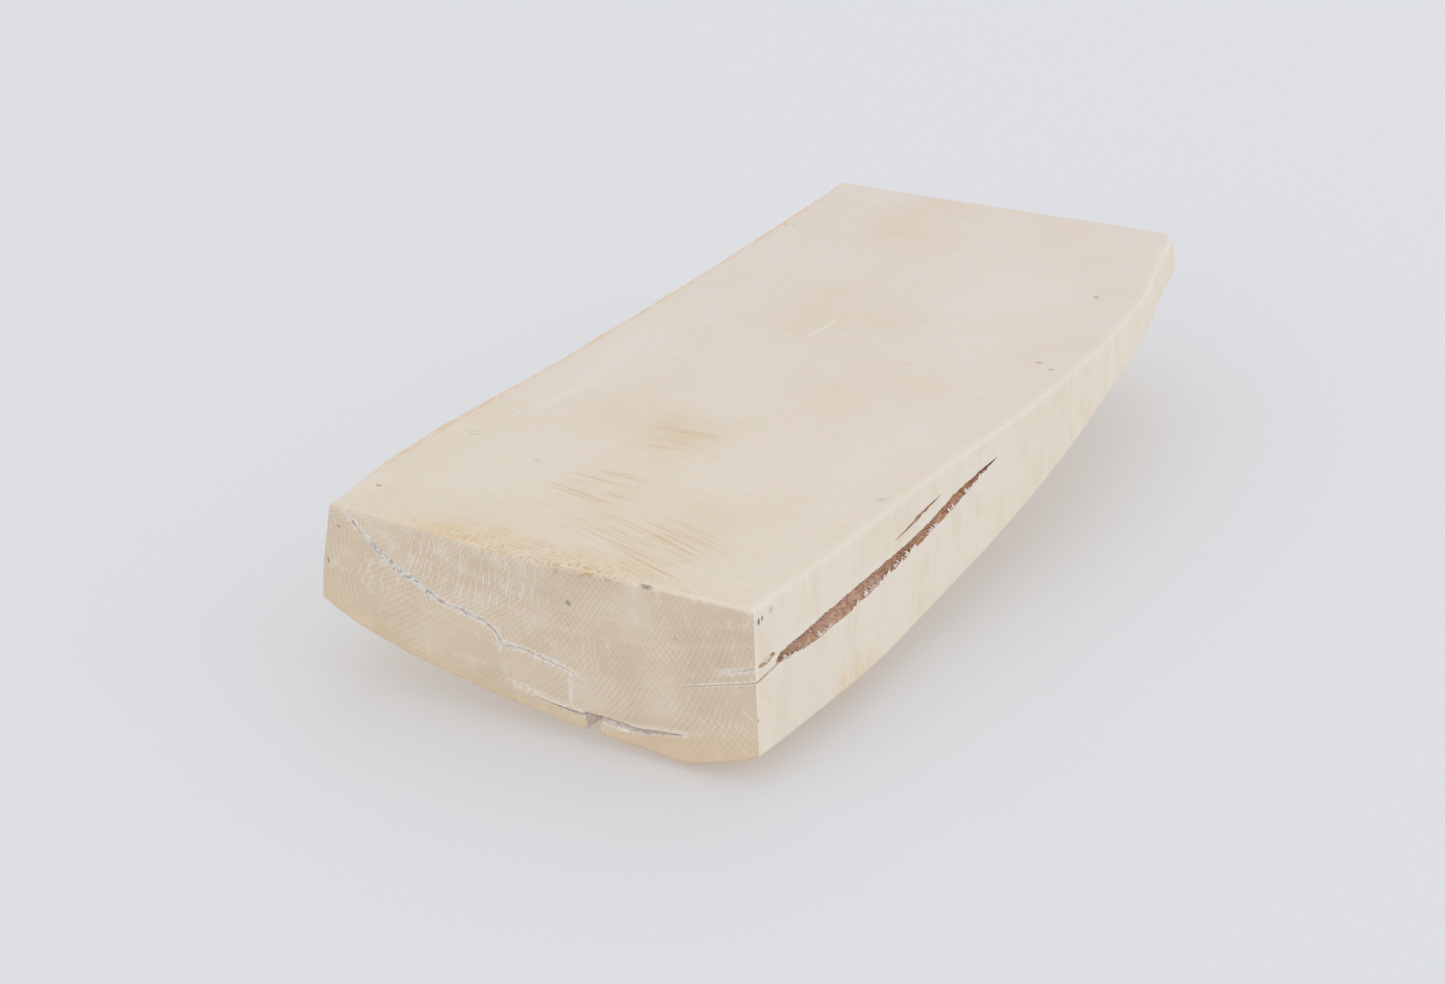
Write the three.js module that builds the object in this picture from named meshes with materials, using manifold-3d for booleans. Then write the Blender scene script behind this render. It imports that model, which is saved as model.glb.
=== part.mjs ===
// A sawn slab of tusk ivory, the blank that bone folders are cut from: a broad flat sawn face on top,
// the curved outside of the tusk underneath, a thick sawn end and an end that thins out like a bow.
// Drying splits open its right side and its thick end. It is one solid piece with nothing fastened to it.
// Millimetres, +Z up. X runs across, Y from the thick end to the thin end. The origin is the bottom centre.

import * as THREE from "three";
import { mergeVertices } from "three/addons/utils/BufferGeometryUtils.js";
import Module from "manifold-3d";

// ---- the slab ----
const LENGTH = 200;
const END_WIDTH = 80; // the sawn face across the thick end
const THICKNESS = 31; // the sawn face down to the lowest line of the belly
const THIN_THICKNESS = 9.5; // the same at the thin end

// plan outline of the sawn face
const LEFT_SWELL = 2.3; // how far the left edge bows out along the middle
const LEFT_FLARE = 5.2; // how far it stands out at the thin end
const RIGHT_SWELL = 3.8;
const RIGHT_TUCK = 8.5; // how far the right edge draws in at the thin end
const CORNER_ROUND = 5; // the rounded right corner of the thin end
const THIN_END_SKEW = 2; // how far the left corner of the thin end falls short of the right one

// walls: a foot is the corner where a wall meets the belly
const WALL_LEAN = 1.3; // how far each foot stands outside the edge above it
const LEFT_FOOT_RISE = 13.6; // how far the foot lies above the lowest line, at the thick end
const RIGHT_FOOT_RISE = 4.5;
const THIN_LEFT_FOOT_RISE = 4.5; // the same at the thin end
const THIN_RIGHT_FOOT_RISE = 2.7;
const WALLS_FALL_FROM = 32; // the walls keep their height this far from the thick end
const WALLS_FALL_TO = 28; // and have their least height this far from the thin end

// belly
const END_LIFT = 1.1; // how far the belly at the thick end stays above its lowest line
const BELLY_SINK = 45; // the belly is at its lowest this far in
const BELLY_RISE_FROM = 92; // and begins to rise to the thin end here
const LOW_LINE_INSET = 15; // the lowest line, in from the right foot at the thick end
const MIDDLE_INSET = 42; // the same over the rest of the belly
const LINE_DRIFT = 72; // the lowest line crosses to the middle over this length

// ---- the splits ----
// A split in the side runs from start to end, from `below` under the sawn face, and climbs on the way.
const SIDE_SPLIT = { start: 4, end: 84, below: 10.3, climb: 4.8, gape: 3.2, depth: 13 };
const UPPER_SPLIT = { start: 45, end: 63, below: 5.8, climb: 1.1, gape: 0.7, depth: 5 };
const CORNER_CHIP = { start: 0.8, end: 4.6, below: 8.7, climb: 0.3, gape: 1.3, depth: 0.8 };
const END_CRACK = { gape: 0.6, depth: 1.6 };
// At the thick end the outermost layer of the tusk has lifted off the belly, in two flaps with a notch
// between. root is the layer's thickness where a flap still holds.
const FLAP_LAYER = 2.4; // thickness of the lifted layer beside the notch
const FLAP_NOTCH = { inset: 28.8, width: 2.4, depth: 7 };
const LEFT_FLAP = { width: 17, root: 1.6, gape: 0.5, depth: 9 };
const RIGHT_FLAP = { width: 17, root: 4.3, gape: 1.2, depth: 9 };
const HAIR = 0.06; // what a split still opens at its tips
const INNER_SHARE = 0.25; // and what its floor keeps of its mouth

// ---- fineness ----
const ACROSS = 18;
const ALONG = 30;
const SPLIT_STEPS = 14;
const OUTSIDE = 1.5; // how far a cutter stands proud of the face that it cuts

const IVORY = new THREE.MeshStandardMaterial({ color: 0xe8dcc6, roughness: 0.52, metalness: 0 });

const { lerp: mix, smoothstep } = THREE.MathUtils;

// An edge of the sawn face: its place across, read off a smooth curve through [distance, place] pairs.
function edge(pairs) {
  const places = pairs.map(([y, x]) => new THREE.Vector3(x, y, 0));
  const curve = new THREE.CatmullRomCurve3(places, false, "centripetal");
  const points = curve.getPoints(pairs.length * 12);
  return (along) => {
    const next = Math.max(1, points.findIndex((q) => q.y >= along - 1e-6));
    const [near, far] = [points[next - 1], points[next]];
    return mix(near.x, far.x, (along - near.y) / (far.y - near.y));
  };
}

const leftEdge = edge([
  [0, -END_WIDTH],
  [LENGTH * 0.1, -END_WIDTH - LEFT_SWELL],
  [LENGTH * 0.4, -END_WIDTH - LEFT_SWELL * 0.8],
  [LENGTH * 0.7, -END_WIDTH - LEFT_SWELL * 1.1],
  [LENGTH, -END_WIDTH - LEFT_FLARE],
]);
const rightSide = edge([
  [0, 0],
  [LENGTH * 0.1, RIGHT_SWELL * 0.3],
  [LENGTH * 0.3, RIGHT_SWELL * 0.5],
  [LENGTH * 0.52, RIGHT_SWELL],
  [LENGTH * 0.68, RIGHT_SWELL * 0.75],
  [LENGTH * 0.8, 0],
  [LENGTH * 0.925, -RIGHT_TUCK * 0.66],
  [LENGTH, -RIGHT_TUCK],
]);

function rightEdge(along) {
  const past = Math.max(0, along - (LENGTH - CORNER_ROUND));
  return rightSide(along) - (CORNER_ROUND - Math.sqrt(CORNER_ROUND ** 2 - past ** 2));
}

// Depth of a wall's foot under the sawn face.
function footDepth(thickRise, thinRise, along) {
  const share = smoothstep(along, WALLS_FALL_FROM, LENGTH - WALLS_FALL_TO);
  return mix(THICKNESS - END_LIFT - thickRise, THIN_THICKNESS - thinRise, share);
}

// Depth of the belly's lowest line.
function bellyDepth(along) {
  const sunk = THICKNESS - END_LIFT * (1 - smoothstep(along, 0, BELLY_SINK));
  return mix(sunk, THIN_THICKNESS, smoothstep(along, BELLY_RISE_FROM, LENGTH));
}

// The underside at one station is two curves that meet on the lowest line.
// share runs from 0 at the left foot to 1 at the right foot.
function bellyPoint(share, along) {
  const left = new THREE.Vector2(
    leftEdge(along) - WALL_LEAN,
    -footDepth(LEFT_FOOT_RISE, THIN_LEFT_FOOT_RISE, along),
  );
  const right = new THREE.Vector2(
    rightEdge(along) + WALL_LEAN,
    -footDepth(RIGHT_FOOT_RISE, THIN_RIGHT_FOOT_RISE, along),
  );
  const drift = smoothstep(along, 0, LINE_DRIFT);
  const low = new THREE.Vector2(right.x - mix(LOW_LINE_INSET, MIDDLE_INSET, drift), -bellyDepth(along));
  const turn = mix(0.7, 0.5, drift);
  if (share < turn) {
    const shoulder = new THREE.Vector2(mix(left.x, low.x, 0.23), mix(left.y, low.y, 0.66));
    return new THREE.QuadraticBezierCurve(left, shoulder, low).getPoint(share / turn);
  }
  const shoulder = new THREE.Vector2(mix(low.x, right.x, 0.3), low.y);
  return new THREE.QuadraticBezierCurve(low, shoulder, right).getPoint((share - turn) / (1 - turn));
}

// The slab before it split: a box whose skin is drawn out to the plan outline, the walls and the belly.
function slabGeometry() {
  const box = new THREE.BoxGeometry(1, 1, 1, ACROSS, ALONG, 1);
  const place = box.getAttribute("position");
  for (let i = 0; i < place.count; i++) {
    const share = place.getX(i) + 0.5;
    // the stations crowd towards the thin end, where the corner is round
    const along = LENGTH * Math.sin(((place.getY(i) + 0.5) * Math.PI) / 2);
    const y = along - THIN_END_SKEW * (1 - share) * (along / LENGTH) ** 6;
    if (place.getZ(i) > 0) {
      place.setXYZ(i, mix(leftEdge(along), rightEdge(along), share), y, 0);
    } else {
      const belly = bellyPoint(share, along);
      place.setXYZ(i, belly.x, y, belly.y);
    }
  }
  return box;
}

// A split as a closed wedge: for s from 0 to 1, line(s) is its middle on the face and opening(s) its width.
// toSlab turns (place along the face, height, depth under the face) into a point of the slab.
function wedge(line, opening, depth, toSlab) {
  const box = new THREE.BoxGeometry(1, 1, 1, SPLIT_STEPS, 1, 1);
  const place = box.getAttribute("position");
  for (let i = 0; i < place.count; i++) {
    const s = place.getX(i) + 0.5;
    const inside = place.getY(i) > 0;
    const middle = line(s);
    const width = HAIR + opening(s) * (inside ? INNER_SHARE : 1);
    const point = toSlab(middle.x, middle.y + width * place.getZ(i), inside ? depth : -OUTSIDE);
    place.setXYZ(i, point.x, point.y, point.z);
  }
  return box;
}

const onSide = (along, up, deep) => new THREE.Vector3(rightEdge(along) + WALL_LEAN - deep, along, up);
const onEnd = (across, up, deep) => new THREE.Vector3(across, deep, up);
const spindle = (s) => Math.sin(Math.PI * THREE.MathUtils.clamp(s, 0, 1)) ** 0.6;

// It starts blunt near the thick end and runs out to a fine tip.
function sideSplit({ start, end, below, climb, gape, depth }) {
  const line = (s) => new THREE.Vector2(mix(start, end, s), climb * s ** 1.7 - below);
  return wedge(line, (s) => gape * spindle(s ** 0.75), depth, onSide);
}

function endSplit(points, { gape, depth }, opening) {
  const curve = new THREE.SplineCurve(points);
  return wedge((s) => curve.getPoint(s), (s) => gape * opening(s), depth, onEnd);
}

// The crack starts under the top left corner and runs down to the right along one growth layer.
function endCrack() {
  const route = [[4, -2], [14, -8], [22, -12], [31, -15.6], [40, -17.9], [49, -19.7]];
  return endSplit(route.map(([x, z]) => new THREE.Vector2(x - END_WIDTH, z)), END_CRACK, spindle);
}

// The point of the belly's outline, at the thick end, that lies at this place across.
function bellyAt(x) {
  let [low, high] = [0, 1];
  while (high - low > 1e-4) {
    const middle = (low + high) / 2;
    if (bellyPoint(middle, 0).x < x) low = middle;
    else high = middle;
  }
  return bellyPoint(low, 0);
}

// The gap above a lifted flap, from the notch to the root on its left (-1) or right (+1).
function flapGap(flap, side, opening) {
  const points = [0, 0.35, 0.7, 1].map((s) => {
    const skin = bellyAt(-FLAP_NOTCH.inset + side * s * flap.width);
    return new THREE.Vector2(skin.x, skin.y + mix(FLAP_LAYER, flap.root, s));
  });
  return side > 0
    ? endSplit(points, flap, opening)
    : endSplit(points.reverse(), flap, (s) => opening(1 - s));
}

function flapNotch() {
  const { inset, width, depth } = FLAP_NOTCH;
  const skin = bellyAt(-inset).y;
  const box = new THREE.BoxGeometry(width, depth + OUTSIDE, FLAP_LAYER + 2 * OUTSIDE);
  return box.translate(-inset, (depth - OUTSIDE) / 2, skin + (FLAP_LAYER - 2 * OUTSIDE) / 2);
}

// ---- booleans ----
const wasm = await Module();
wasm.setup();

function solid(geometry) {
  geometry.deleteAttribute("normal");
  geometry.deleteAttribute("uv");
  const merged = mergeVertices(geometry, 1e-4);
  return new wasm.Manifold(
    new wasm.Mesh({
      numProp: 3,
      vertProperties: merged.getAttribute("position").array,
      triVerts: new Uint32Array(merged.index.array),
    }),
  );
}

function geometryOf(made) {
  const mesh = made.getMesh();
  const geometry = new THREE.BufferGeometry();
  geometry.setAttribute("position", new THREE.BufferAttribute(new Float32Array(mesh.vertProperties), 3));
  geometry.setIndex(new THREE.BufferAttribute(new Uint32Array(mesh.triVerts), 1));
  return geometry;
}

// ---- the slab, with every split cut out of it ----
function ivorySlab() {
  const cuts = [
    sideSplit(SIDE_SPLIT),
    sideSplit(UPPER_SPLIT),
    sideSplit(CORNER_CHIP),
    endCrack(),
    flapGap(LEFT_FLAP, -1, (s) => 1 - s),
    flapGap(RIGHT_FLAP, 1, (s) => (1 - s) ** 0.5),
    flapNotch(),
  ];
  const split = cuts.reduce((left, cut) => left.subtract(solid(cut)), solid(slabGeometry()));
  const geometry = geometryOf(split);
  geometry.computeBoundingBox();
  const middle = geometry.boundingBox.getCenter(new THREE.Vector3());
  geometry.translate(-middle.x, -middle.y, -geometry.boundingBox.min.z);
  geometry.computeVertexNormals();
  const mesh = new THREE.Mesh(geometry, IVORY);
  mesh.name = "ivory_slab";
  return mesh;
}

const blank = new THREE.Group();
blank.add(ivorySlab());

export default blank;
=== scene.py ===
"""An ivory slab, the blank that bone folders are cut from, lying sawn face up on a pale table."""

from math import cos, pi, radians, sin

import bpy
import numpy as np
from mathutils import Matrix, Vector


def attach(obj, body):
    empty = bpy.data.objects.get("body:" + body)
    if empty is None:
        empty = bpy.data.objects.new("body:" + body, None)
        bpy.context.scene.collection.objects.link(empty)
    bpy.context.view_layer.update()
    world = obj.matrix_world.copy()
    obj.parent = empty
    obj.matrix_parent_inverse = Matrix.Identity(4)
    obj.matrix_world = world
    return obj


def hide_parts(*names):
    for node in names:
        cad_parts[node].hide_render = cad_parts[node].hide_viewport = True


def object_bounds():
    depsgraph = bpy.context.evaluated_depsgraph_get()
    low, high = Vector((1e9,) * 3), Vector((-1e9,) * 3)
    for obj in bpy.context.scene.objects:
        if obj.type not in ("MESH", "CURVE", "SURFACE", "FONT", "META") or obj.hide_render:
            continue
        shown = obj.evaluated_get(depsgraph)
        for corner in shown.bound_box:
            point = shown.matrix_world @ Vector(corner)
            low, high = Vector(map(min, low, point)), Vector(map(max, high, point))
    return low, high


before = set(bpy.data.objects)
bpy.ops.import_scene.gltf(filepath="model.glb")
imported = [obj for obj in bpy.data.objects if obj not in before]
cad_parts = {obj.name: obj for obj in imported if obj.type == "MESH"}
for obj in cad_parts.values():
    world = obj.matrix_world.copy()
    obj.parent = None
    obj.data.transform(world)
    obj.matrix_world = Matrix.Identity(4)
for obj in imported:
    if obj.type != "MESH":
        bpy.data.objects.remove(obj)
cad_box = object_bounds()
LOW, HIGH = np.array(cad_box[0]), np.array(cad_box[1])

# ---------------------------------------------------------------------------------------------------
# Camera, table and lamps
# A plain pale table top in a light tent. The tent's white walls give most of the light. Three broad lamps
# on the right, behind and low in front make the right side a little brighter than the thick end.

RIGHT_SWELL, WALL_LEAN = 3.8, 1.3  # mm that the right side stands out past the front corner
CORNER = np.array([HIGH[0] - (RIGHT_SWELL + WALL_LEAN) * 0.001, LOW[1], HIGH[2]])


def turned(azimuth, elevation):
    """The unit vector from a point to one that sees it at this azimuth and elevation, in degrees."""
    a, e = radians(azimuth), radians(elevation)
    return Vector((sin(a) * cos(e), -cos(a) * cos(e), sin(e)))


def facing(obj, place, target):
    """Puts a camera or lamp in the scene at a place, looking at the target."""
    obj.location = place
    obj.rotation_euler = (Vector(target) - Vector(place)).to_track_quat("-Z", "Y").to_euler()
    bpy.context.scene.collection.objects.link(obj)
    return obj


CAMERA_AZIMUTH, CAMERA_ELEVATION = 28.907, 23.5  # degrees
CAMERA_DISTANCE = 0.49752
aim = Vector(CORNER) + Vector((-0.02577, 0.03707, 0))
stand_at = aim + turned(CAMERA_AZIMUTH, CAMERA_ELEVATION) * CAMERA_DISTANCE
lens = bpy.data.cameras.new("camera")
lens.lens = 74.74
lens.sensor_width = 36
bpy.context.scene.camera = facing(bpy.data.objects.new("camera", lens), stand_at, aim)

LAMPS = (
    # name, azimuth, elevation, distance, width, height, watts
    ("right_lamp", 100, 40, 1.1, 0.9, 0.7, 1.3),
    ("back_lamp", 190, 50, 1.2, 1.0, 0.8, 1.0),
    ("front_lamp", -8, 18, 1.1, 0.9, 0.5, 2.2),
)
for name, azimuth, elevation, distance, width, height, watts in LAMPS:
    lamp = bpy.data.lights.new(name, "AREA")
    lamp.shape = "RECTANGLE"
    lamp.size, lamp.size_y = width, height
    lamp.energy = watts
    facing(bpy.data.objects.new(name, lamp), turned(azimuth, elevation) * distance, (0, 0, 0))

tent = bpy.data.worlds.new("light_tent")
tent.use_nodes = True
air = tent.node_tree.nodes
walls = air.new("ShaderNodeMapRange")  # the tent is brighter low down than overhead
walls.inputs["To Min"].default_value, walls.inputs["To Max"].default_value = 1.02, 0.66
split = air.new("ShaderNodeSeparateXYZ")
tent.node_tree.links.new(air.new("ShaderNodeTexCoord").outputs["Generated"], split.inputs[0])
tent.node_tree.links.new(split.outputs["Z"], walls.inputs["Value"])
tent.node_tree.links.new(walls.outputs[0], air["Background"].inputs["Strength"])
air["Background"].inputs["Color"].default_value = (0.975, 0.985, 1.0, 1)
bpy.context.scene.world = tent
bpy.context.scene.view_settings.view_transform = "Standard"

TABLE_HALF = 6.0
table_corners = [(x * TABLE_HALF, y * TABLE_HALF, 0) for x, y in ((-1, -1), (1, -1), (1, 1), (-1, 1))]
table_mesh = bpy.data.meshes.new("table")
table_mesh.from_pydata(table_corners, [], [(0, 1, 2, 3)])
table = bpy.data.objects.new("table", table_mesh)
bpy.context.scene.collection.objects.link(table)
table_paint = bpy.data.materials.new("table_white")
table_paint.use_nodes = True
white = table_paint.node_tree.nodes["Principled BSDF"].inputs
white["Base Color"].default_value = (0.395, 0.47, 0.545, 1)
white["Roughness"].default_value = 0.6
white["Emission Color"].default_value = (0.33, 0.275, 0.24, 1)  # milk glass, softly lit from below
white["Emission Strength"].default_value = 1.0
table_mesh.materials.append(table_paint)

# ---------------------------------------------------------------------------------------------------
# Slab
# One length of tusk wall, sawn flat on top and square at the thick end. The underside is the tusk's own
# curved outside, so the slab thins out towards its far end. Everything here is in millimetres from the
# front right corner of the sawn face: x across, y along, z up.

LENGTH, THICKNESS, THIN_THICKNESS = 200.0, 31.0, 9.5
CORNER_ROUND = 5  # the rounded right corner of the thin end
THIN_END_SKEW = 2  # how far its left corner falls short of the right one
# each wall's foot stands this far above the lowest line, at the thick end and at the thin end
LEFT_FOOT_RISE, RIGHT_FOOT_RISE = (13.6, 4.5), (4.5, 2.7)
WALLS_FALL_FROM, WALLS_FALL_TO = 32, 172  # the walls lose their height between these
END_LIFT = 1.1  # how far the belly at the thick end stays above its lowest line
BELLY_SINK, BELLY_RISE_FROM = 45, 92  # it is down by the first and rises again from the second
LOW_LINE_INSET, MIDDLE_INSET = 15, 42  # the lowest line, in from the right foot, near and far
LINE_DRIFT = 72  # and how long it takes to cross over


def smoothstep(x, low, high):
    """0 below low, 1 above high and a smooth S between."""
    t = np.clip((x - low) / (high - low), 0, 1)
    return t * t * (3 - 2 * t)


def mix(a, b, t):
    return a + (b - a) * t


def smooth_through(x, points):
    """The cubic curve through the points whose slope at each one is that between its neighbours."""
    xs, ys = np.array(points, float).T
    slope = np.gradient(ys, xs)
    i = np.clip(np.searchsorted(xs, x) - 1, 0, len(xs) - 2)
    h = xs[i + 1] - xs[i]
    t = np.clip((x - xs[i]) / h, 0, 1)
    rise = h * (t * (1 - t) ** 2 * slope[i] - t**2 * (1 - t) * slope[i + 1])
    return (1 + 2 * t) * (1 - t) ** 2 * ys[i] + t**2 * (3 - 2 * t) * ys[i + 1] + rise


# the sawn face's two long edges, as (y, x)
LEFT_SIDE = ((0, -80), (20, -82.3), (80, -81.84), (140, -82.53), (200, -85.2))
RIGHT_SIDE = (
    (0, 0), (20, 1.14), (60, 1.9), (104, RIGHT_SWELL), (136, 2.85), (160, 0), (185, -5.61), (200, -8.5)
)


def left_edge(y):
    return smooth_through(y, LEFT_SIDE)


def right_edge(y):
    """The right edge of the sawn face, with a round corner at the thin end."""
    past = np.clip(y - (LENGTH - CORNER_ROUND), 0, CORNER_ROUND)
    return smooth_through(y, RIGHT_SIDE) - (CORNER_ROUND - np.sqrt(CORNER_ROUND**2 - past**2))


def foot_depth(rises, y):
    """How far a wall's foot lies under the sawn face."""
    thick, thin = THICKNESS - END_LIFT - rises[0], THIN_THICKNESS - rises[1]
    return mix(thick, thin, smoothstep(y, WALLS_FALL_FROM, WALLS_FALL_TO))


def belly_depth(y):
    """How far the lowest line lies under the sawn face."""
    sunk = THICKNESS - END_LIFT * (1 - smoothstep(y, 0, BELLY_SINK))
    return mix(sunk, THIN_THICKNESS, smoothstep(y, BELLY_RISE_FROM, LENGTH))


def bend(a, b, c, t):
    """The quadratic curve from a by way of b to c."""
    return (1 - t) ** 2 * a + 2 * t * (1 - t) * b + t * t * c


def belly(share, y):
    """The underside's x and z: a curve from the left foot to the lowest line and one on to the right foot.
    share runs from 0 at the left foot to 1 at the right."""
    left_x, left_z = left_edge(y) - WALL_LEAN, -foot_depth(LEFT_FOOT_RISE, y)
    right_x, right_z = right_edge(y) + WALL_LEAN, -foot_depth(RIGHT_FOOT_RISE, y)
    drift = smoothstep(y, 0, LINE_DRIFT)
    low_x, low_z = right_x - mix(LOW_LINE_INSET, MIDDLE_INSET, drift), -belly_depth(y)
    turn = mix(0.7, 0.5, drift)
    t = np.clip(share / turn, 0, 1)
    x = bend(left_x, mix(left_x, low_x, 0.2), low_x, t)
    z = bend(left_z, mix(left_z, low_z, 0.72), low_z, t)
    u = np.clip((share - turn) / (1 - turn), 0, 1)
    past_x = bend(low_x, mix(low_x, right_x, 0.3), right_x, u)
    past_z = bend(low_z, low_z, right_z, u)
    return np.where(share < turn, x, past_x), np.where(share < turn, z, past_z)


# how far the saw set back the top of the thick end, as (x, set back)
SAW_WANDER = ((-90, 1.5), (-80, 1.5), (-62, 0.4), (-40, -1.2), (-27, -0.2), (-9, 0.2), (9, 0))


def end_face(x, z):
    """How far the thick end stands back: all of the saw's wander at the top and none of it 9 mm down."""
    return smooth_through(x, SAW_WANDER) * smoothstep(z, -9, 0)


def skin(counts):
    """The skin of a block of cells: its lattice points, its four-sided faces facing out, and the side that
    each face lies on: 0 and 1 at the ends of x, 2 and 3 of y, 4 and 5 of z."""
    corners, faces, sides, start = [], [], [], 0
    for axis in range(3):
        a, b = (axis + 1) % 3, (axis + 2) % 3
        i, j = np.meshgrid(np.arange(counts[a] + 1), np.arange(counts[b] + 1), indexing="ij")
        step = counts[b] + 1
        cell = (np.arange(counts[a])[:, None] * step + np.arange(counts[b])).ravel()
        loop = np.stack([cell, cell + step, cell + step + 1, cell + 1], -1)
        for end in (0, 1):
            place = np.zeros((i.size, 3), int)
            place[:, a], place[:, b], place[:, axis] = i.ravel(), j.ravel(), end * counts[axis]
            corners.append(place)
            faces.append((loop if end else loop[:, ::-1]) + start)
            sides.append(np.full(len(loop), 2 * axis + end))
            start += i.size
    corners, index = np.unique(np.concatenate(corners), axis=0, return_inverse=True)
    return corners, index.reshape(-1)[np.concatenate(faces)], np.concatenate(sides)


def crowded(n):
    """n + 1 places from 0 to 1 that crowd towards both ends, so that the arrises get narrow faces."""
    return 0.5 - 0.5 * np.cos(pi * np.arange(n + 1) / n)


def grain(a, b, seed):
    """Smooth noise between -1 and 1 over the plane (a, b), with one random value at each whole number."""
    table = np.random.default_rng(seed).uniform(-1, 1, (256, 256))
    i, j = np.floor(a).astype(int), np.floor(b).astype(int)
    s, t = smoothstep(a - i, 0, 1), smoothstep(b - j, 0, 1)
    i, j = i % 255, j % 255
    return mix(mix(table[i, j], table[i + 1, j], s), mix(table[i, j + 1], table[i + 1, j + 1], s), t)


def rough(a, b, seed):
    """Three sizes of grain, each half as large and half as strong as the last."""
    return sum(grain(a * 2**k, b * 2**k, seed + k) / 2**k for k in range(3)) / 1.75


def solid(name, points, faces):
    """An object from points in millimetres off the corner and four-sided faces, turned to face out."""
    a, b, c, d = (points[faces[:, k]] for k in range(4))
    if np.einsum("ij,ij->i", a + b + c + d, np.cross(c - a, d - b)).sum() < 0:
        faces = faces[:, ::-1]
    mesh = bpy.data.meshes.new(name)
    mesh.vertices.add(len(points))
    mesh.vertices.foreach_set("co", (points * 0.001 + CORNER).astype(np.float32).ravel())
    mesh.loops.add(faces.size)
    mesh.loops.foreach_set("vertex_index", faces.astype(np.int32).ravel())
    mesh.polygons.add(len(faces))
    mesh.polygons.foreach_set("loop_start", np.arange(0, faces.size, 4, dtype=np.int32))
    mesh.update(calc_edges=True)
    mesh.shade_smooth()
    obj = bpy.data.objects.new(name, mesh)
    bpy.context.scene.collection.objects.link(obj)
    return obj


CELLS = np.array([116, 184, 36])  # across, along and up
corners, faces, sides = skin(CELLS)
share, along, rise = (crowded(n)[corners[:, k]] for k, n in enumerate(CELLS))
along = LENGTH * along
size = np.stack([right_edge(along) - left_edge(along), 0 * along + LENGTH, -belly(share, along)[1]], -1)
place = np.stack([share * size[:, 0], along, rise * size[:, 2]], -1)
# the arrises are rubbed, more so at the thin end and under the belly, and nowhere evenly
worn = mix(0.6, 0.5, rise) + 0.7 * smoothstep(along, 150, LENGTH)
worn *= 1 + 0.4 * rough((place[:, 0] + place[:, 2]) / 6, along / 9, 11)
core = np.clip(place, worn[:, None], size - worn[:, None])
out = (place - core) / np.linalg.norm(place - core, axis=1)[:, None]
place = core + worn[:, None] * out
share, along, rise = place[:, 0] / size[:, 0], place[:, 1], place[:, 2] / size[:, 2]
foot_x, foot_z = belly(share, along)
top_x = mix(left_edge(along), right_edge(along), share)
drawn_back = THIN_END_SKEW * (1 - share) * (along / LENGTH) ** 6
points = np.stack([mix(foot_x, top_x, rise), along - drawn_back, mix(foot_z, 0, rise)], -1)
x, y, z = points.T
y += end_face(x, z) * smoothstep(40 - y, 0, 40)
# the hand-dressed sides and belly are a little lumpy, and the table bears on the lowest line
lump = 0.2 * rough(x / 19, y / 37, 3) * np.clip(-out[:, 2], 0, 1)
lump += 0.1 * rough(y / 16, z / 11, 5) * np.abs(out[:, 0])
lump += 0.12 * rough(x / 9, z / 8, 7) * np.abs(out[:, 1])
lump += 0.25 * rough(y / 6, z / 7, 13) * np.clip(-out[:, 0], 0, 1)
points += out * lump[:, None]
points[:, 2] = np.maximum(points[:, 2], -THICKNESS)
slab = solid("ivory_slab", points, faces)
slab.data.polygons.foreach_set("material_index", sides.astype(np.int32))

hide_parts("ivory_slab")
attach(slab, "root")

# ---------------------------------------------------------------------------------------------------
# Splits
# Ivory shrinks as it dries and opens along its growth layers: one long split in the right side with a
# narrow one above it, a crack across the thick end, and an outer layer that has lifted off the belly there
# in two flaps with a notch between. Each is cut out of the slab.


def rift(name, near, far, lining):
    """A closed cutter between two sheets of points (rows by columns by 3), joined round their rims."""
    rows, columns = near.shape[:2]
    index = np.arange(rows * columns).reshape(rows, columns)
    quads = np.stack([index[:-1, :-1], index[1:, :-1], index[1:, 1:], index[:-1, 1:]], -1).reshape(-1, 4)
    rim = np.concatenate([index[0, :-1], index[:-1, -1], index[-1, :0:-1], index[:0:-1, 0]])
    after = np.roll(rim, -1)
    wall = np.stack([rim, after, after + index.size, rim + index.size], -1)
    sheets = np.concatenate([near.reshape(-1, 3), far.reshape(-1, 3)])
    cutter = solid(name, sheets, np.concatenate([quads, quads[:, ::-1] + index.size, wall]))
    cutter.data.polygons.foreach_set("material_index", np.full(len(cutter.data.polygons), lining, np.int32))
    return cutter


TORN, CHALK, INNER, AMBER = 6, 7, 8, 9  # linings, after the slab's six sides
PROUD = 1.5  # how far a cutter stands out of the face that it cuts


def channel(name, lining, *sheets):
    """A rift between two sheets, each given as its x, y and z."""
    return rift(name, *(np.stack(np.broadcast_arrays(*sheet), -1) for sheet in sheets), lining)


def walked(route, widths, step):
    """Walks a route of (x, z) points in steps: the way gone, and x, z and the width there, as columns."""
    route = np.array(route, float)
    far = np.concatenate([[0], np.cumsum(np.linalg.norm(np.diff(route, axis=0), axis=1))])
    s = np.linspace(0, far[-1], int(far[-1] / step))
    return s[:, None], *(smooth_through(s, np.stack([far, v], -1))[:, None] for v in (*route.T, widths))


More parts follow.
